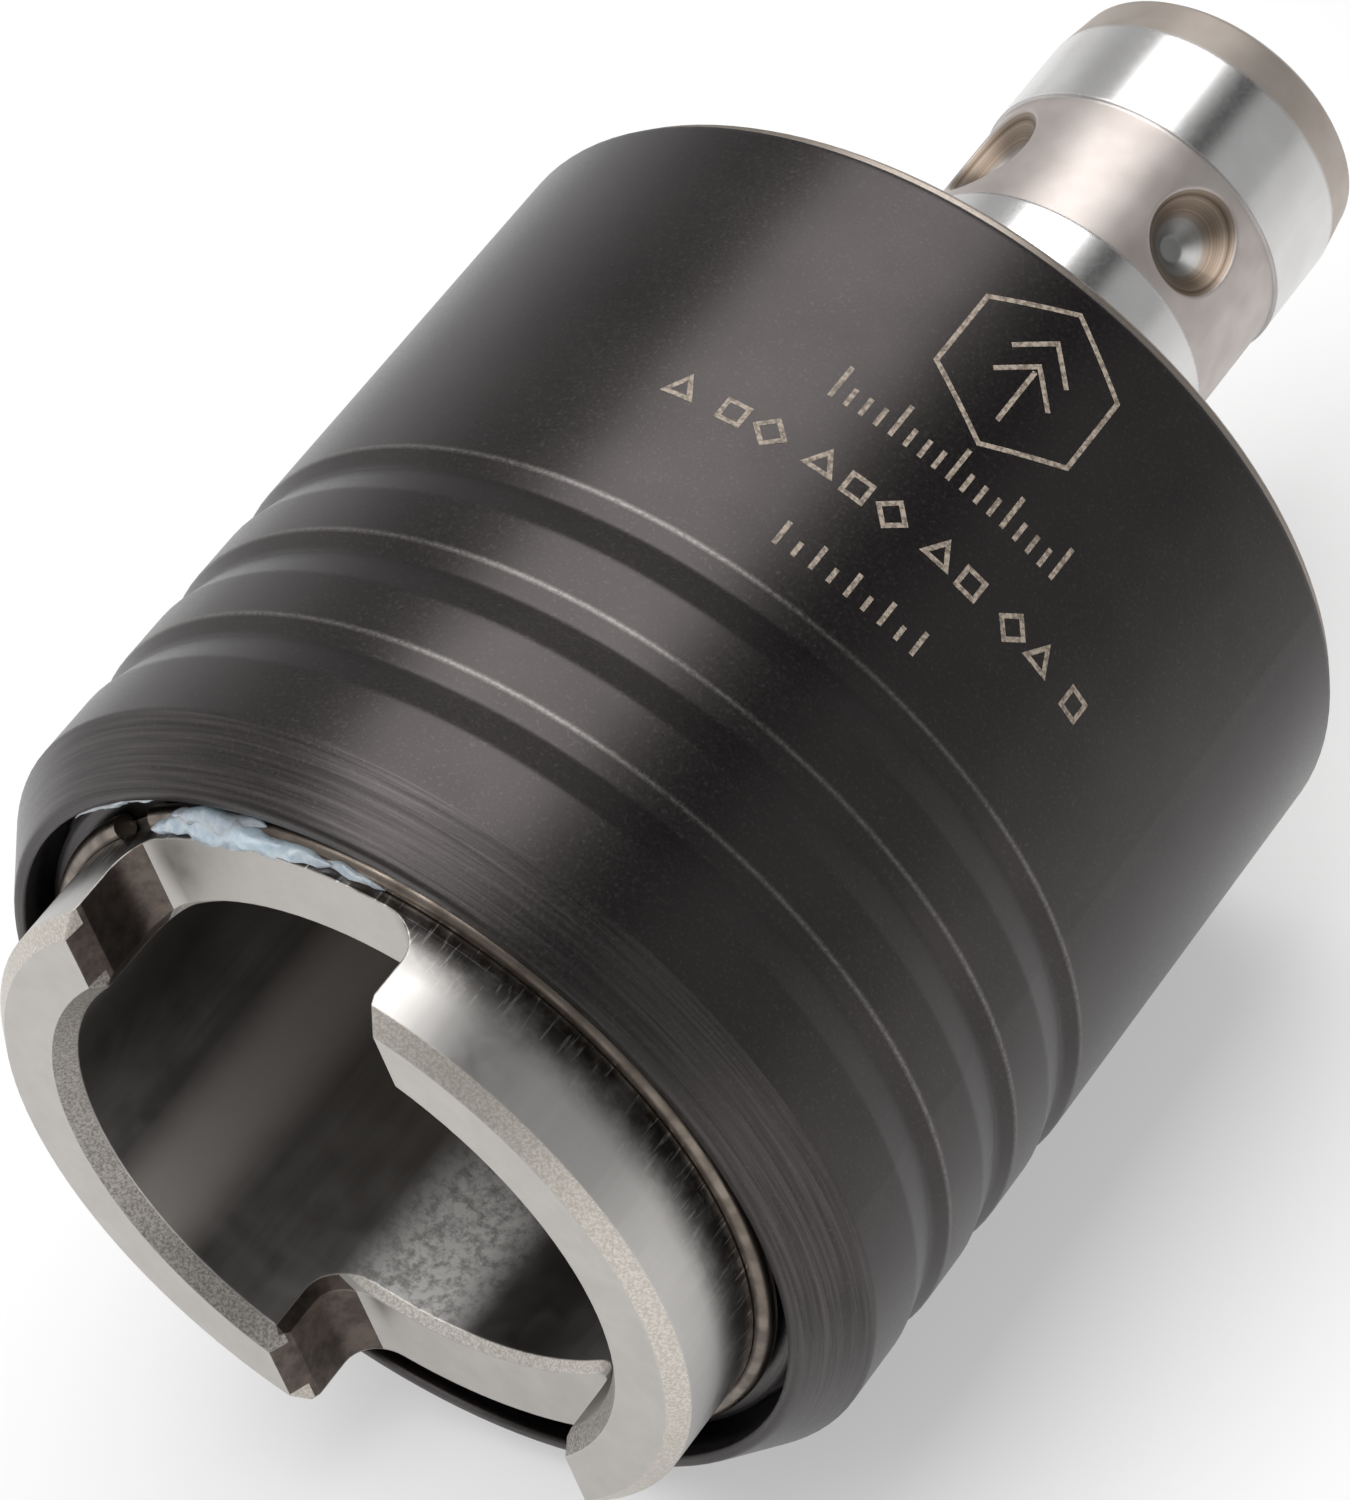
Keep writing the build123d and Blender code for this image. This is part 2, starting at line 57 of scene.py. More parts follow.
# Places on the CAD parts that the materials and the added pieces refer to.
TIP_Y = -6.1
NOTCH_FLOOR_Y = -0.5
SPINDLE_R = 20.0
BORE_R = 15.5
SLEEVE_R = 25.0
CONE_END_Y = 3.0
GROOVE_REAR_Y = 9.75
GROOVE_PITCH = 6.0
GROOVE_LAST_Y = GROOVE_REAR_Y + 2 * GROOVE_PITCH
BAND_Y = 60.3
BAND_END_Y = 68.4
TAPER_Y = 74.1


class Graph:
    """A material's node tree, with short calls for the few kinds of node used here."""

    def __init__(self, name):
        self.material = bpy.data.materials.new(name)
        self.material.use_nodes = True
        self.tree = self.material.node_tree
        self.tree.nodes.clear()
        self.output = self.tree.nodes.new("ShaderNodeOutputMaterial")
        self.place = self.node("TexCoord").outputs["Object"]

    def node(self, kind, inputs=None, **settings):
        made = self.tree.nodes.new("ShaderNode" + kind)
        for key, value in settings.items():
            setattr(made, key, value)
        for key, value in (inputs or {}).items():
            self.set(made.inputs[key], value)
        return made

    def set(self, socket, value):
        if isinstance(value, bpy.types.NodeSocket):
            self.tree.links.new(value, socket)
        else:
            socket.default_value = value

    def math(self, operation, a, b=0.0, clamp=False):
        return self.node("Math", {0: a, 1: b}, operation=operation, use_clamp=clamp).outputs[0]

    def noise(self, scale, detail=3.0, roughness=0.5, vector=None):
        """Noise whose scale is in cells per millimetre."""
        inputs = {"Vector": self.place if vector is None else vector, "Scale": scale / MM}
        made = self.node("TexNoise", inputs)
        made.inputs["Detail"].default_value = detail
        made.inputs["Roughness"].default_value = roughness
        return made.outputs[0]

    def span(self, value, low, high, to_low=0.0, to_high=1.0):
        """Map low..high to to_low..to_high, clamped."""
        limits = {"From Min": low, "From Max": high, "To Min": to_low, "To Max": to_high}
        return self.node("MapRange", {"Value": value, **limits}).outputs[0]

    def between(self, value, low, high):
        """One where a value in millimetres lies between low and high."""
        above = self.math("GREATER_THAN", value, low * MM)
        below = self.math("LESS_THAN", value, high * MM)
        return self.math("MULTIPLY", above, below)

    def both(self, a, b):
        return self.math("MULTIPLY", a, b)

    def mix(self, factor, a, b):
        made = self.node("Mix", None, data_type="RGBA")
        self.set(made.inputs["Factor"], factor)
        for index, value in ((6, a), (7, b)):
            self.set(made.inputs[index], value)
        return made.outputs[2]

    def blend(self, factor, a, b):
        """Mix two plain numbers."""
        return self.node("Mix", {0: factor, 2: a, 3: b}).outputs[0]

    def rounded(self, radius):
        """The normal with every edge rounded to a radius in millimetres."""
        made = self.node("Bevel", {"Radius": radius * MM})
        made.samples = 6
        return made.outputs[0]

    def edge(self, rounded_normal, low=0.003, high=0.12):
        """One on the rounded edges and nought on the plain surface."""
        true_normal = self.node("NewGeometry").outputs["Normal"]
        dot = self.node("VectorMath", {0: rounded_normal, 1: true_normal}, operation="DOT_PRODUCT")
        off = self.math("SUBTRACT", 1.0, dot.outputs["Value"])
        return self.span(off, low, high)

    def bump(self, height, strength, distance, normal=None):
        """Bump whose distance is in millimetres."""
        inputs = {"Height": height, "Strength": strength, "Distance": distance * MM}
        if normal is not None:
            inputs["Normal"] = normal
        return self.node("Bump", inputs).outputs[0]

    def finish(self, color, roughness, metallic, normal=None, **constants):
        shader = self.node("BsdfPrincipled")
        self.set(shader.inputs["Base Color"], color)
        self.set(shader.inputs["Roughness"], roughness)
        shader.inputs["Metallic"].default_value = metallic
        if normal is not None:
            self.set(shader.inputs["Normal"], normal)
        for key, value in constants.items():
            shader.inputs[key.replace("_", " ")].default_value = value
        self.tree.links.new(shader.outputs[0], self.output.inputs["Surface"])
        return self.material


class Turned(Graph):
    """A graph with coordinates round the chuck's axis, for turned and ground parts."""

    def __init__(self, name):
        super().__init__(name)
        split = self.node("SeparateXYZ", {0: self.place}).outputs
        self.x, self.y, self.z = split[0], split[1], split[2]
        flat = self.node("CombineXYZ", {0: self.x, 2: self.z}).outputs[0]
        length = self.node("VectorMath", {0: flat}, operation="LENGTH")
        self.radius = length.outputs["Value"]
        unit = self.node("VectorMath", {0: flat}, operation="NORMALIZE").outputs[0]
        self.around = self.node("SeparateXYZ", {0: unit}).outputs

    def facing(self, angle, full, none):
        """One within full degrees of an angle round the axis, fading to nought at none degrees."""
        towards = (math.cos(math.radians(angle)), 0.0, math.sin(math.radians(angle)))
        unit = self.node("CombineXYZ", {0: self.around[0], 2: self.around[2]}).outputs[0]
        dot = self.node("VectorMath", {0: unit, 1: towards}, operation="DOT_PRODUCT").outputs["Value"]
        return self.span(dot, math.cos(math.radians(none)), math.cos(math.radians(full)))

    def marks(self, around, place, density, detail):
        """Noise with around cells to the radian and density cells to the millimetre of place."""
        inputs = {
            0: self.math("MULTIPLY", self.around[0], around),
            1: self.math("MULTIPLY", place, density / MM),
            2: self.math("MULTIPLY", self.around[2], around),
        }
        vector = self.node("CombineXYZ", inputs).outputs[0]
        return self.noise(MM, detail, 0.6, vector)

    def rings(self, along, across, detail=3.0):
        """Turned marks: long streaks round the axis."""
        return self.marks(along, self.math("ADD", self.y, self.radius), across, detail)

    def strokes(self, around, lengthwise, detail=3.0):
        """Drawn marks that run along the axis."""
        return self.marks(around, self.y, lengthwise, detail)


def blackened_steel():
    """Black oxide on turned steel: fine satin grain, faint turned marks, and a light line on each groove's
    rear edge that is partly edge wear and partly painted highlight.
    """
    g = Turned("blackened_steel")
    round_edge = g.rounded(0.42)
    grain = g.noise(5.5, 3.0, 0.6)
    cloud = g.noise(0.16, 2.0, 0.5)
    turned = g.rings(2.2, 3.2)
    cone = g.math("LESS_THAN", g.y, CONE_END_Y * MM)
    dark = g.mix(g.span(cloud, 0.3, 0.7), (0.047, 0.042, 0.042, 1), (0.056, 0.050, 0.050, 1))
    dusty = g.mix(g.span(grain, 0.55, 0.75, 0.0, 0.4), dark, (0.12, 0.11, 0.107, 1))
    streaks = g.both(cone, g.span(turned, 0.40, 0.70, 0.0, 0.4))
    dusty = g.mix(streaks, dusty, (0.15, 0.14, 0.135, 1))
    # Partly edge wear, partly painted highlight: a lighter line on the rounded rear edge of each groove,
    # where the edge catches the light.
    from_groove = g.math("SUBTRACT", g.y, (GROOVE_REAR_Y - 0.15) * MM)
    groove_rim_highlight = g.math("LESS_THAN", g.math("MODULO", from_groove, GROOVE_PITCH * MM), 0.35 * MM)
    groove_rim_highlight = g.both(groove_rim_highlight, g.between(g.y, GROOVE_REAR_Y - 0.15, GROOVE_LAST_Y + 1))
    worn = g.both(g.edge(round_edge, 0.001, 0.02), g.span(grain, 0.3, 0.62, 0.35, 1.0))
    color = g.mix(g.both(worn, groove_rim_highlight), dusty, (0.21, 0.20, 0.19, 1))
    height = g.math("ADD", g.math("MULTIPLY", grain, 0.45), g.math("MULTIPLY", turned, 0.55))
    strength = g.blend(cone, 0.16, 0.42)
    normal = g.bump(height, strength, 0.02, round_edge)
    roughness = g.span(grain, 0.3, 0.7, 0.27, 0.35)
    return g.finish(color, roughness, 1.0, normal)


def claw_zones(g):
    """Masks for the claw spindle's faces, each told apart by where it lies."""
    tip = TIP_Y + 0.03
    near_tip = g.between(g.y, tip, TIP_Y + 1.12)
    side = g.between(g.math("ABSOLUTE", g.x), 6.9, 9.5)
    wall = g.both(side, g.between(g.y, tip, NOTCH_FLOOR_Y - 0.25))
    inside = g.math("LESS_THAN", g.radius, (BORE_R + 0.015) * MM)
    mouth_y = g.between(g.y, NOTCH_FLOOR_Y + 0.03, NOTCH_FLOOR_Y + 0.52)
    tip_flat = g.math("LESS_THAN", g.y, tip * MM)
    notch_floor = g.between(g.y, NOTCH_FLOOR_Y - 0.03, NOTCH_FLOOR_Y + 0.03)
    return {
        "flat": g.math("ADD", tip_flat, notch_floor, clamp=True),
        "outer_chamfer": g.both(near_tip, g.between(g.radius, SPINDLE_R - 0.95, SPINDLE_R - 0.015)),
        "inner_chamfer": g.both(near_tip, g.between(g.radius, BORE_R + 0.02, BORE_R + 0.84)),
        "mouth": g.both(mouth_y, g.between(g.radius, BORE_R + 0.015, BORE_R + 0.55)),
        "wall": g.both(wall, g.between(g.radius, BORE_R + 0.03, SPINDLE_R - 0.03)),
        "outside": g.math("GREATER_THAN", g.radius, (SPINDLE_R - 0.03) * MM),
        "bore": g.both(inside, g.math("GREATER_THAN", g.y, (TIP_Y + 1.0) * MM)),
    }


def claw_outside(g, drawn, patch_noise):
    """Polished steel that is brown and finely scratched towards the snap ring."""
    streaks = g.span(drawn, 0.35, 0.68)
    polish = g.mix(streaks, (0.475, 0.46, 0.445, 1), (0.50, 0.485, 0.47, 1))
    # Patchy darker brown that grows over the last 3 mm towards the snap ring.
    darker_towards_ring = g.both(g.span(g.y, -3.0 * MM, -0.4 * MM), g.span(patch_noise, 0.34, 0.56, 0.35, 1.0))
    polish = g.mix(darker_towards_ring, polish, (0.12, 0.105, 0.095, 1))
    scratch = g.span(g.strokes(90.0, 0.5, 2.0), 0.60, 0.66)
    return g.mix(g.both(scratch, darker_towards_ring), polish, (0.66, 0.64, 0.62, 1))


def bore_wall(g, drawn, blotch):
    """Dark drawn wall with painted reflections at set angles round the bore (two dark bands, a light band,
    and a bright flecked patch of painted highlight): colour and roughness.
    """
    shade = g.mix(g.span(drawn, 0.3, 0.7), (0.42, 0.40, 0.385, 1), (0.50, 0.485, 0.47, 1))
    # Painted reflections: darker bands at 158 and 274 degrees round the bore.
    shade = g.mix(g.facing(158, 4, 24), shade, (0.17, 0.16, 0.15, 1))
    shade = g.mix(g.facing(274, 4, 14), shade, (0.24, 0.225, 0.215, 1))
    # Painted reflection: a light band at 201 degrees round the bore.
    painted_light_band = g.facing(201, 3, 13)
    shade = g.mix(painted_light_band, shade, (0.76, 0.72, 0.70, 1))
    # Painted highlight: a bright flecked patch at 250 degrees, strongest within 7 mm of the front and gone
    # by 16 mm.
    highlight_flecks = g.span(g.noise(1.6, 5.0, 0.75), 0.36, 0.56)
    painted_highlight_patch = g.both(g.facing(250, 5, 15), g.span(g.y, 16 * MM, 7 * MM))
    shade = g.mix(g.both(highlight_flecks, painted_highlight_patch), shade, (0.95, 0.94, 0.92, 1))
    satin = g.blend(painted_light_band, g.span(blotch, 0.3, 0.7, 0.30, 0.40), 0.5)
    return shade, g.blend(painted_highlight_patch, satin, 0.62)


def claw_steel():
    """Hardened spindle: pale matt flats, bright worn chamfers, brown walls, dark streaked bore with painted
    reflections.
    """
    g = Turned("claw_steel")
    round_edge = g.rounded(0.14)
    sparkle = g.noise(6.5, 2.0, 0.7)
    blotch = g.noise(0.55, 4.0, 0.6)
    turned = g.rings(3.0, 5.0)
    drawn = g.strokes(34.0, 0.10)
    patch_noise = g.noise(0.9, 5.0, 0.65)
    zone = claw_zones(g)

    color = g.mix(g.span(blotch, 0.35, 0.65), (0.50, 0.48, 0.455, 1), (0.56, 0.54, 0.515, 1))
    roughness = g.span(blotch, 0.3, 0.7, 0.42, 0.5)
    color = g.mix(zone["outside"], color, claw_outside(g, drawn, patch_noise))
    roughness = g.blend(zone["outside"], roughness, g.span(blotch, 0.3, 0.7, 0.30, 0.38))
    bore_color, bore_roughness = bore_wall(g, drawn, blotch)
    color = g.mix(zone["bore"], color, bore_color)
    roughness = g.blend(zone["bore"], roughness, bore_roughness)

    brown = g.mix(g.span(patch_noise, 0.4, 0.62), (0.15, 0.122, 0.105, 1), (0.085, 0.070, 0.063, 1))
    color = g.mix(zone["wall"], color, brown)
    roughness = g.blend(zone["wall"], roughness, 0.42)
    tan = g.mix(g.span(sparkle, 0.4, 0.62), (0.52, 0.48, 0.43, 1), (0.69, 0.65, 0.60, 1))
    color = g.mix(zone["outer_chamfer"], color, tan)
    roughness = g.blend(zone["outer_chamfer"], roughness, 0.4)
    grey = g.mix(g.span(sparkle, 0.38, 0.6), (0.22, 0.205, 0.19, 1), (0.42, 0.395, 0.365, 1))
    color = g.mix(zone["inner_chamfer"], color, grey)
    milled = g.mix(g.span(sparkle, 0.38, 0.6), (0.56, 0.52, 0.47, 1), (0.80, 0.76, 0.71, 1))
    color = g.mix(zone["mouth"], color, milled)
    worn = g.both(g.edge(round_edge), g.span(g.noise(1.5, 3.0), 0.3, 0.6))
    color = g.mix(g.math("MULTIPLY", worn, 0.55), color, (0.74, 0.70, 0.63, 1))

    rough_zone = g.math("ADD", zone["inner_chamfer"], zone["mouth"])
    rough_zone = g.math("ADD", zone["outer_chamfer"], rough_zone, clamp=True)
    relief = g.blend(rough_zone, g.math("MULTIPLY", sparkle, 0.15), sparkle)
    relief = g.math("ADD", relief, g.math("MULTIPLY", turned, 0.2))
    relief = g.blend(zone["flat"], relief, g.math("MULTIPLY", sparkle, 0.1))
    normal = g.bump(relief, 0.55, 0.02, round_edge)
    return g.finish(color, roughness, 1.0, normal)


def shank_steel():
    """Ground shank: bright lands, a matt band with tan dimples, and a matt tan end."""
    g = Turned("shank_steel")
    round_edge = g.rounded(0.25)
    fine = g.noise(4.0, 3.0)
    cloud = g.noise(0.35, 3.0)
    turned = g.rings(2.5, 6.0)
    band_start = g.span(g.y, (BAND_Y - 0.1) * MM, (BAND_Y + 0.2) * MM)
    band_end = g.span(g.y, (BAND_END_Y + 0.1) * MM, (BAND_END_Y - 0.2) * MM)
    band = g.both(band_start, band_end)
    end = g.span(g.y, (TAPER_Y - 0.1) * MM, (TAPER_Y + 0.25) * MM)
    in_band = g.between(g.y, BAND_Y + 0.3, BAND_END_Y - 0.2)
    dimple = g.both(in_band, g.span(g.radius, 8.78 * MM, 8.70 * MM))
    deep = g.span(g.radius, 8.7 * MM, 7.0 * MM)

    bright = g.mix(g.span(cloud, 0.3, 0.7), (0.66, 0.65, 0.645, 1), (0.72, 0.715, 0.71, 1))
    satin = g.mix(g.span(cloud, 0.35, 0.65), (0.47, 0.42, 0.395, 1), (0.56, 0.51, 0.485, 1))
    tan = g.mix(g.span(cloud, 0.35, 0.65), (0.45, 0.395, 0.35, 1), (0.52, 0.465, 0.42, 1))
    color = g.mix(band, bright, satin)
    color = g.mix(end, color, tan)
    depth_rings = g.node("CombineXYZ", {0: g.math("MULTIPLY", g.radius, 3.2 / MM)}).outputs[0]
    bored = g.noise(MM, 2.0, 0.7, depth_rings)
    stain = g.mix(g.span(bored, 0.35, 0.65), (0.13, 0.095, 0.07, 1), (0.31, 0.25, 0.20, 1))
    stain = g.mix(g.span(deep, 0.55, 0.85), stain, (0.30, 0.30, 0.295, 1))
    color = g.mix(dimple, color, stain)

    roughness = g.span(fine, 0.3, 0.7, 0.2, 0.25)
    roughness = g.blend(band, roughness, 0.43)
    roughness = g.blend(end, roughness, 0.46)
    roughness = g.blend(dimple, roughness, 0.46)
    height = g.math("ADD", g.math("MULTIPLY", turned, 0.7), g.math("MULTIPLY", fine, 0.3))
    height = g.blend(dimple, height, bored)
    strength = g.blend(band, 0.02, 0.16)
    normal = g.bump(height, g.blend(dimple, strength, 0.5), 0.012, round_edge)
    return g.finish(color, roughness, 1.0, normal)


def turned_steel(name, low, high, roughness, strength=0.2):
    """A turned or ground part: ring marks and a fine grain between two colours."""
    g = Turned(name)
    round_edge = g.rounded(0.12)
    marks = g.rings(2.0, 4.0)
    grain = g.noise(4.5, 3.0)
    color = g.mix(g.span(marks, 0.3, 0.7), low, high)
    bare = tuple(min(1, 1.5 * c) for c in high)
    color = g.mix(g.math("MULTIPLY", g.edge(round_edge), 0.4), color, bare)
    height = g.math("ADD", g.math("MULTIPLY", marks, 0.7), g.math("MULTIPLY", grain, 0.3))
    normal = g.bump(height, strength, 0.015, round_edge)
    sheen = g.span(grain, 0.3, 0.7, roughness - 0.05, roughness + 0.06)
    return g.finish(color, sheen, 1.0, normal)


def drawn_wire(name, low, high, roughness):
    """Spring wire: long die marks along the wire under patchy brown oil film."""
    g = Turned(name)
    darker_towards_ring = g.noise(0.8, 4.0)
    grain = g.noise(5.0, 2.0)
    color = g.mix(g.span(darker_towards_ring, 0.35, 0.65), low, high)
    normal = g.bump(grain, 0.15, 0.01)
    return g.finish(color, g.span(darker_towards_ring, 0.3, 0.7, roughness - 0.08, roughness + 0.08), 1.0, normal)


def polished_ball():
    """A lapped bearing ball with a faint oil haze."""
    g = Graph("ball_steel")
    haze = g.noise(0.5, 3.0)
    color = g.mix(g.span(haze, 0.3, 0.7), (0.74, 0.74, 0.75, 1), (0.80, 0.80, 0.81, 1))
    return g.finish(color, g.span(haze, 0.3, 0.7, 0.05, 0.12), 1.0)


def moulded_rubber():
    g = Graph("rubber")
    grain = g.noise(3.0, 3.0)
    color = g.mix(g.span(grain, 0.3, 0.7), (0.022, 0.022, 0.022, 1), (0.035, 0.035, 0.036, 1))
    return g.finish(color, g.span(grain, 0.3, 0.7, 0.5, 0.65), 0.0, g.bump(grain, 0.3, 0.03))


def pressed_felt():
    g = Graph("felt")
    fibre = g.noise(2.6, 6.0, 0.75)
    color = g.mix(g.span(fibre, 0.35, 0.65), (0.16, 0.15, 0.135, 1), (0.34, 0.32, 0.29, 1))
    return g.finish(color, 0.95, 0.0, g.bump(fibre, 0.8, 0.12), Sheen_Weight=0.4)


def laser_mark():
    """Matt tan marking made of fine overlapping dots."""
    g = Graph("laser_mark")
    dots = g.noise(4.2, 2.0, 0.6)
    color = g.mix(g.span(dots, 0.38, 0.60), (0.15, 0.12, 0.095, 1), (0.37, 0.31, 0.25, 1))
    return g.finish(color, 0.6, 0.0, g.bump(dots, 0.4, 0.03))


def white_grease():
    """Wet translucent white grease."""
    g = Graph("grease")
    lumps = g.noise(1.4, 4.0, 0.6)
    color = g.mix(g.span(lumps, 0.35, 0.65), (0.50, 0.56, 0.62, 1), (0.72, 0.77, 0.80, 1))
    normal = g.bump(lumps, 0.5, 0.12)
    return g.finish(color, 0.22, 0.0, normal, Subsurface_Weight=0.25, Coat_Weight=0.4)


# For each turned slot: the two colours, the roughness and the strength of the ring marks.
TURNED_SLOTS = {
    "spindle_steel": ((0.36, 0.345, 0.33, 1), (0.48, 0.465, 0.445, 1), 0.3, 0.2),
    "ground_steel": ((0.58, 0.57, 0.56, 1), (0.68, 0.67, 0.66, 1), 0.16, 0.1),
    "cover_steel": ((0.24, 0.205, 0.175, 1), (0.34, 0.30, 0.265, 1), 0.38, 0.2),
    "black_fastener": ((0.04, 0.04, 0.043, 1), (0.065, 0.063, 0.064, 1), 0.38, 0.2),
    "bronze": ((0.48, 0.32, 0.16, 1), (0.60, 0.42, 0.23, 1), 0.3, 0.2),
}


def slot_materials():
    """One material for each of the record's slots."""
    made = {name: turned_steel(name, *look) for name, look in TURNED_SLOTS.items()}
    made["blackened_steel"] = blackened_steel()
    made["spring_steel"] = drawn_wire("spring_steel", (0.26, 0.22, 0.185, 1), (0.15, 0.125, 0.105, 1), 0.34)
    made["ball_steel"] = polished_ball()
    made["rubber"] = moulded_rubber()
    made["felt"] = pressed_felt()
    made["laser_mark"] = laser_mark()
    made["grease"] = white_grease()
    return made


MATERIALS = slot_materials()
ZONED = {"claw_spindle": claw_steel(), "shank": shank_steel()}


def dress_cad_nodes():
    """Give each CAD node its own zoned material, or its slot's."""
    for name, part in frame["nodes"].items():
        material = ZONED.get(name, MATERIALS[RECORD_SLOTS[name]])
        part.data.materials.clear()
        part.data.materials.append(material)


# Added pieces ------------------------------------------------------------------------------
def add_piece(name, mesh_builder, body, slot):
    """Link a new mesh piece, let it ride on a body and give it its record slot."""
    mesh = bpy.data.meshes.new(name)
    bm = bmesh.new()
    mesh_builder(bm)
    bmesh.ops.recalc_face_normals(bm, faces=bm.faces)
    bm.to_mesh(mesh)
    bm.free()
    mesh.materials.append(MATERIALS[slot])
    piece = bpy.data.objects.new(name, mesh)
    bpy.context.scene.collection.objects.link(piece)
    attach(piece, body)
    return piece


MARK_HALF_WIDTH = 0.13
MARK_TOP = 0.012
MARK_ROOT = -0.01
MARK_STEP = 0.8


def sleeve_point(arc, y, lift):
    """A point on the sleeve from its arc length round the sleeve and its y, in millimetres."""
    angle = arc / SLEEVE_R
    radius = SLEEVE_R + lift
    return Vector((radius * math.cos(angle), y, radius * math.sin(angle))) * MM


def finer(points, closed):
    """The same line with points no further apart than MARK_STEP."""
    ends = points[1:] + points[:1] if closed else points[1:]
    out = []
    for (s0, y0), (s1, y1) in zip(points, ends):
        count = max(1, math.ceil(math.hypot(s1 - s0, y1 - y0) / MARK_STEP))
        for i in range(count):
            t = i / count
            out.append((s0 + (s1 - s0) * t, y0 + (y1 - y0) * t))
    if not closed:
        out.append(points[-1])
    return out


def side_offset(before, here, after):
    """The mitred sideways step at one point of a marked line."""
    first = Vector((here[0] - before[0], here[1] - before[1]))
    second = Vector((after[0] - here[0], after[1] - here[1]))
    first = first.normalized() if first.length else second.normalized()
    second = second.normalized() if second.length else first
    along = (first + second).normalized()
    across = Vector((-along.y, along.x))
    stretch = 1 / max(0.5, across.dot(Vector((-first.y, first.x))))
    return across * MARK_HALF_WIDTH * stretch


def add_line(bm, points, closed=False):
    """A thin closed ribbon that follows the sleeve along a line of (arc, y) points."""
    line = finer([tuple(p) for p in points], closed)
    count = len(line)
    rows = []
    for i, (s, y) in enumerate(line):
        before = line[i - 1] if i or closed else (s, y)
        after = line[(i + 1) % count] if i < count - 1 or closed else (s, y)
        step = side_offset(before, (s, y), after)
        rows.append([
            bm.verts.new(sleeve_point(s + side * step.x, y + side * step.y, lift))
            for side, lift in ((1, MARK_TOP), (-1, MARK_TOP), (-1, MARK_ROOT), (1, MARK_ROOT))
        ])
    pairs = list(zip(rows, rows[1:] + rows[:1])) if closed else list(zip(rows, rows[1:]))
    for a, b in pairs:
        for k in range(4):
            bm.faces.new((a[k], a[(k + 1) % 4], b[(k + 1) % 4], b[k]))
    if not closed:
        bm.faces.new(rows[0])
        bm.faces.new(rows[-1])


def arc_at(angle):
    """Arc length round the sleeve of an angle in degrees."""
    return math.radians(angle) * SLEEVE_R


def polygon(s, y, radius, sides, phase=0.0):
    """Corners of a regular polygon on the sleeve."""
    steps = [math.radians(phase + k * 360 / sides) for k in range(sides)]
    return [(s + radius * math.cos(a), y + radius * math.sin(a)) for a in steps]


PULL_MARK_ANGLE = 47.0
PULL_MARK_Y = 40.0
PULL_MARK_R = 4.7


def pull_mark(bm):
    """A hexagon round an arrow: pull the sleeve back to let the insert go."""
    s = arc_at(PULL_MARK_ANGLE)
    add_line(bm, polygon(s, PULL_MARK_Y, PULL_MARK_R, 6, 30), closed=True)
    for drop in (0.0, 1.7):
        tip = PULL_MARK_Y + 2.6 - drop
        add_line(bm, [(s - 1.7, tip - 1.7), (s, tip), (s + 1.7, tip - 1.7)])
    add_line(bm, [(s, PULL_MARK_Y - 3.0), (s, PULL_MARK_Y + 0.5)])


def tick_row(bm, y, height, first, last, count, long_every, short_share):
    """A plain scale of strokes across the direction of turning."""
    for i in range(count):
        s = arc_at(first + (last - first) * i / (count - 1))
        share = 1.0 if i % long_every == 0 else short_share
        add_line(bm, [(s, y), (s, y + height * share)])


def turn_scale(bm):
    """A scale of long and short strokes behind the pull mark."""
    tick_row(bm, y=32.6, height=2.1, first=31.5, last=63.0, count=17, long_every=4, short_share=0.55)


SYMBOL_GROUPS = (1, 2, 2, 3, 2, 1)
SYMBOL_Y = 29.15
SYMBOL_FIRST = 20.0
SYMBOL_STEP = 4.7
SYMBOL_GAP = 2.0
SYMBOL_R = 0.8


def symbol_row(bm):
    """Groups of small plain shapes: squares, triangles and diamonds in turn."""
    angle = SYMBOL_FIRST
    shapes = ((4, 45), (3, 90), (4, 0))
    index = 0
    for group in SYMBOL_GROUPS:
        for _ in range(group):
            sides, phase = shapes[index % len(shapes)]
            add_line(bm, polygon(arc_at(angle), SYMBOL_Y, SYMBOL_R, sides, phase), closed=True)
            angle += SYMBOL_STEP
            index += 1
        angle += SYMBOL_GAP


def short_scale(bm):
    """A short row of even strokes."""
    tick_row(bm, y=24.0, height=1.5, first=38.5, last=57.5, count=9, long_every=2, short_share=0.6)


GREASE_SIDES = 14
GREASE_STEP = 0.25


def add_smear(bm, start, end, radius, y, half_across, half_along, seed):
    """A lumpy strip of grease round part of the ring gap, thin at its ends."""
    count = round(math.radians(end - start) * radius / GREASE_STEP)
    rows = []
    for i in range(count + 1):
        angle = math.radians(start + (end - start) * i / count)
        fade = max(0.05, abs(math.sin(math.pi * i / count)) ** 0.6)
        along = angle * radius
        sway = 0.3 * noise.noise(Vector((along * 0.5, seed, 0.0)))
        row = []
        for k in range(GREASE_SIDES):
            around = 2 * math.pi * k / GREASE_SIDES
            spot = Vector((along, seed + 1.2 * math.cos(around), 1.2 * math.sin(around)))
            size = fade * (1.0 + 0.75 * noise.noise(spot * 0.6) + 0.4 * noise.noise(spot * 1.9))
            r = radius + sway + half_across * size * math.cos(around)
            place = y + 0.5 * sway + half_along * size * math.sin(around)
            row.append(bm.verts.new(Vector((r * math.cos(angle), place, r * math.sin(angle))) * MM))
        rows.append(row)
    for a, b in zip(rows, rows[1:]):
        for k in range(GREASE_SIDES):
            j = (k + 1) % GREASE_SIDES
            bm.faces.new((a[k], a[j], b[j], b[k]))
    bm.faces.new(rows[0])
    bm.faces.new(rows[-1])


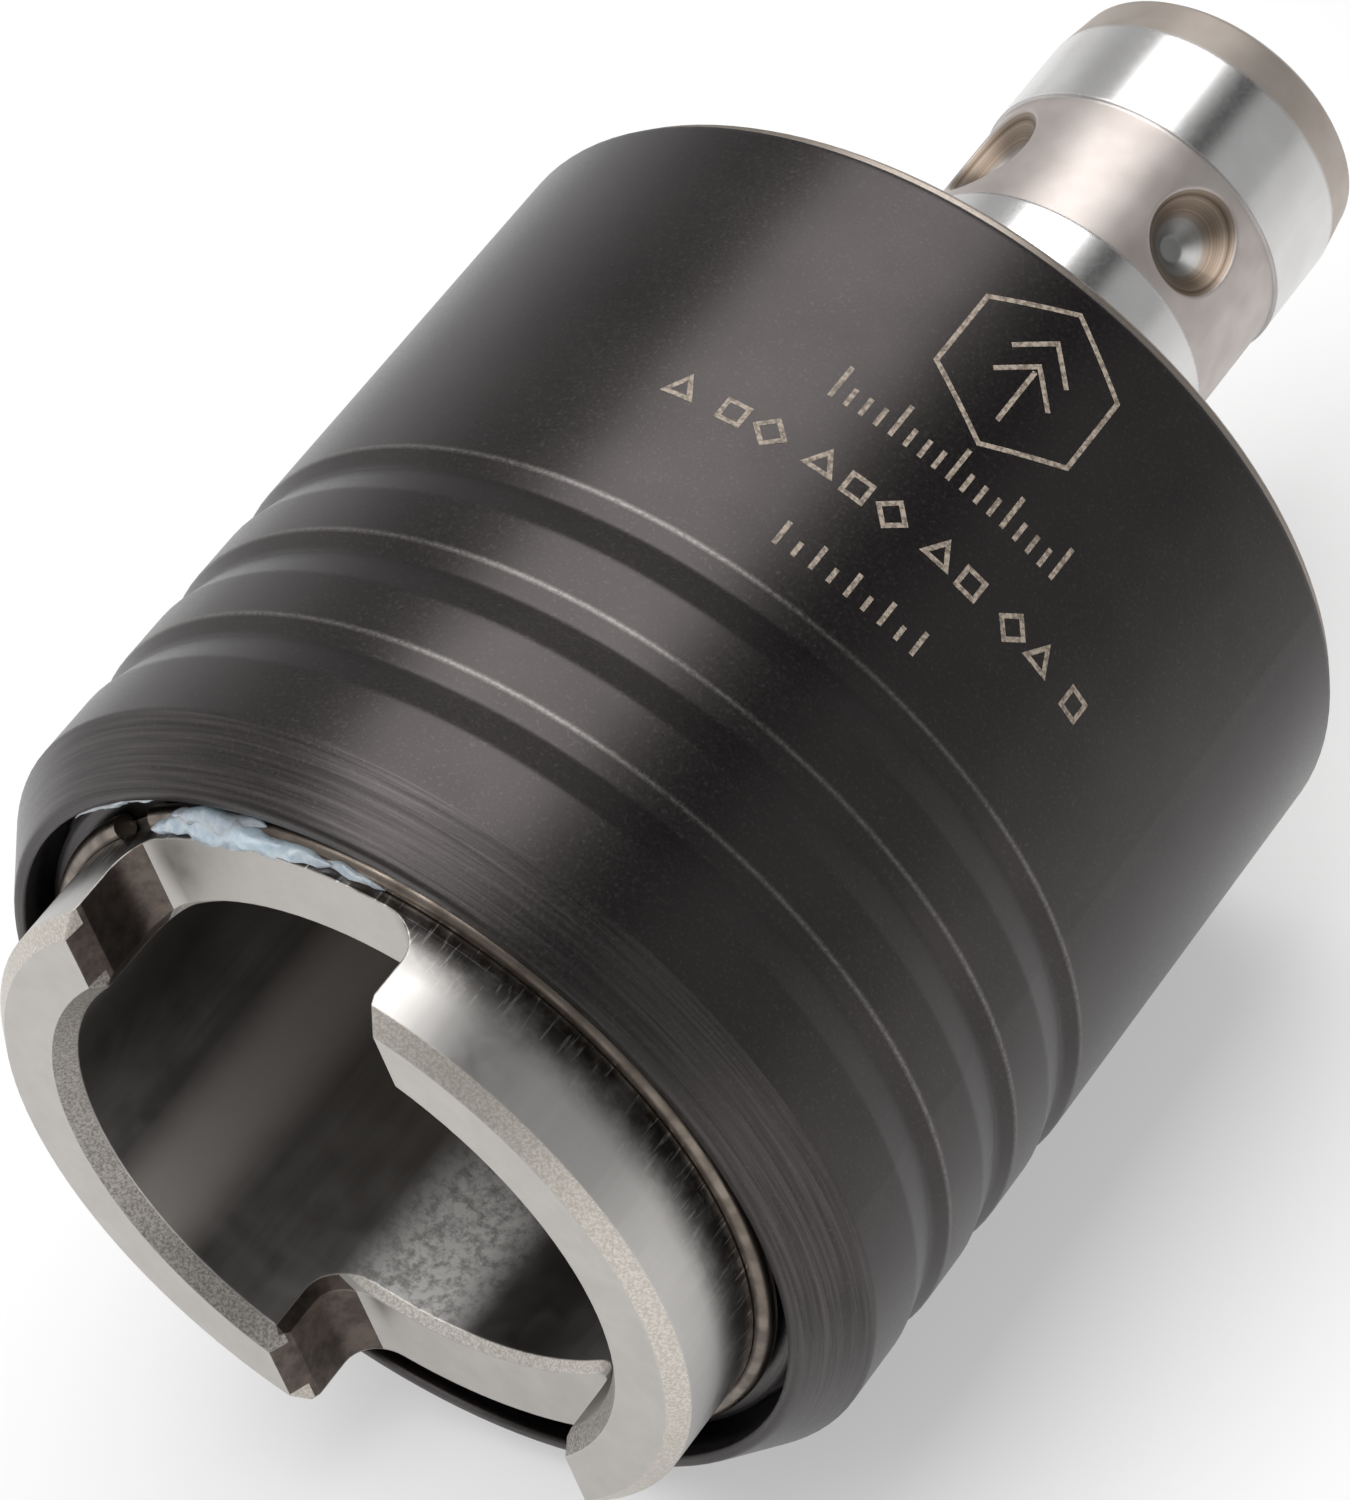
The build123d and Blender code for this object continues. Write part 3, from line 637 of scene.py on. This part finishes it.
def ring_grease(bm):
    """White grease that has come out between the snap ring and the upper notch."""
    add_smear(bm, 79, 113, radius=20.25, y=0.05, half_across=0.58, half_along=0.72, seed=3.0)
    add_smear(bm, 90, 108, radius=20.75, y=0.30, half_across=0.45, half_along=0.55, seed=11.0)
    add_smear(bm, 71, 82, radius=20.15, y=0.20, half_across=0.25, half_along=0.35, seed=17.0)


def lip_grease(bm):
    """A thin film of the same grease along the sleeve's lip."""
    add_smear(bm, 98, 127, radius=22.1, y=0.10, half_across=0.20, half_along=0.32, seed=23.0)


def add_pieces():
    add_piece("pull_mark", pull_mark, "sleeve", "laser_mark")
    add_piece("turn_scale", turn_scale, "sleeve", "laser_mark")
    add_piece("symbol_row", symbol_row, "sleeve", "laser_mark")
    add_piece("short_scale", short_scale, "sleeve", "laser_mark")
    for name, builder, body in (("ring_grease", ring_grease, "root"), ("lip_grease", lip_grease, "sleeve")):
        smear = add_piece(name, builder, body, "grease")
        for face in smear.data.polygons:
            face.use_smooth = True


# Camera, floor and light -------------------------------------------------------------------
VIEW_AZIMUTH = 49.19
VIEW_ELEVATION = 40.69
VIEW_ROLL = -21.77
VIEW_DISTANCE = 332.6 * MM
VIEW_AIM = Vector((5.54, 20.43, 8.37)) * MM
LENS = 165.24


def direction(azimuth, elevation):
    """Unit vector towards the viewer; azimuth 0 looks along +Y."""
    a = math.radians(azimuth)
    e = math.radians(elevation)
    return Vector((math.sin(a) * math.cos(e), -math.cos(a) * math.cos(e), math.sin(e)))


def make_camera():
    data = bpy.data.cameras.new("camera")
    data.lens = LENS
    data.clip_start = 0.01
    data.clip_end = 50.0
    camera = bpy.data.objects.new("camera", data)
    bpy.context.scene.collection.objects.link(camera)
    back = direction(VIEW_AZIMUTH, VIEW_ELEVATION)
    turn = (-back).to_track_quat("-Z", "Y").to_matrix().to_4x4()
    roll = Matrix.Rotation(math.radians(VIEW_ROLL), 4, "Z")
    camera.matrix_world = Matrix.Translation(VIEW_AIM + back * VIEW_DISTANCE) @ turn @ roll
    bpy.context.scene.camera = camera


FLOOR_HALF = 3.0
FLOOR_ALBEDO = 0.47
FLOOR_GLOW = 0.43
FLOOR_GLOW_FAR = 0.13


def light_table():
    """Milky acrylic lit from below, with the glow falling off behind the shank."""
    g = Graph("light_table")
    cloud = g.noise(0.02, 2.0)
    low, high = FLOOR_ALBEDO - 0.01, FLOOR_ALBEDO + 0.01
    color = g.mix(g.span(cloud, 0.3, 0.7), (low, low, low, 1), (high, high, high, 1))
    behind = g.node("VectorMath", {0: g.place, 1: (0.6, 0.8, 0.0)}, operation="DOT_PRODUCT")
    glow = g.span(behind.outputs["Value"], 70 * MM, 140 * MM, FLOOR_GLOW, FLOOR_GLOW_FAR)
    material = g.finish(color, 0.95, 0.0, Specular_IOR_Level=0.1, Emission_Color=(1, 1, 1, 1))
    shader = g.output.inputs["Surface"].links[0].from_node
    g.set(shader.inputs["Emission Strength"], glow)
    return material


def make_floor():
    z = CAD_BOX[0].z
    mesh = bpy.data.meshes.new("floor")
    signs = ((-1, -1), (1, -1), (1, 1), (-1, 1))
    mesh.from_pydata([(a * FLOOR_HALF, b * FLOOR_HALF, z) for a, b in signs], [], [(0, 1, 2, 3)])
    floor = bpy.data.objects.new("floor", mesh)
    bpy.context.scene.collection.objects.link(floor)
    floor.data.materials.append(light_table())


def overhead_light(centre, width, length, radiance):
    """A soft box facing straight down, with its radiance given in place of its power."""
    data = bpy.data.lights.new("overhead", "AREA")
    data.shape = "RECTANGLE"
    data.size = width
    data.size_y = length
    data.energy = radiance * math.pi * width * length
    light = bpy.data.objects.new("overhead", data)
    bpy.context.scene.collection.objects.link(light)
    light.location = centre


LIGHT_CENTRE = (0.0, 0.05, 0.60)
LIGHT_WIDTH = 0.50
LIGHT_LENGTH = 1.05
LIGHT_RADIANCE = 3.0
ROOM_LEVEL = 0.45
ROOM_BRIGHT_SIDE = 0.55
FLAG_NORMAL = (-0.731, 0.0, 0.682)
FLAG_SIDE = (0.682, 0.0, 0.731)


def make_room():
    """A mid-grey studio, lighter towards the left, with a dark flag beside the soft box."""
    world = bpy.data.worlds.new("studio")
    bpy.context.scene.world = world
    world.use_nodes = True
    tree = world.node_tree
    nodes = tree.nodes
    ray = nodes.new("ShaderNodeTexCoord").outputs["Generated"]

    def reach(towards):
        made = nodes.new("ShaderNodeVectorMath")
        made.operation = "DOT_PRODUCT"
        tree.links.new(ray, made.inputs[0])
        made.inputs[1].default_value = towards
        return made.outputs["Value"]

    def ramp(value, low, high, to_low, to_high):
        made = nodes.new("ShaderNodeMapRange")
        made.interpolation_type = "SMOOTHSTEP"
        tree.links.new(value, made.inputs["Value"])
        for key, number in (("From Min", low), ("From Max", high), ("To Min", to_low), ("To Max", to_high)):
            made.inputs[key].default_value = number
        return made.outputs[0]

    def combine(operation, a, b):
        made = nodes.new("ShaderNodeMath")
        made.operation = operation
        for socket, value in zip(made.inputs, (a, b)):
            if isinstance(value, bpy.types.NodeSocket):
                tree.links.new(value, socket)
            else:
                socket.default_value = value
        return made.outputs[0]

    left = ramp(reach((-1.0, 0.0, 0.0)), 0.62, 0.92, ROOM_LEVEL, ROOM_LEVEL + ROOM_BRIGHT_SIDE)
    off_flag = combine("ABSOLUTE", reach(FLAG_NORMAL), 0.0)
    flag = ramp(off_flag, 0.06, 0.20, 0.13, 1.0)
    flag_side = ramp(reach(FLAG_SIDE), 0.3, 0.5, 1.0, 0.0)
    flag = combine("MAXIMUM", flag, flag_side)
    level = combine("MULTIPLY", left, flag)
    tree.links.new(level, nodes["Background"].inputs["Strength"])
    nodes["Background"].inputs["Color"].default_value = (1, 1, 1, 1)


def make_light():
    make_room()
    overhead_light(LIGHT_CENTRE, LIGHT_WIDTH, LIGHT_LENGTH, LIGHT_RADIANCE)
    bpy.context.scene.view_settings.view_transform = "Standard"


dress_cad_nodes()
add_pieces()
make_camera()
make_floor()
make_light()
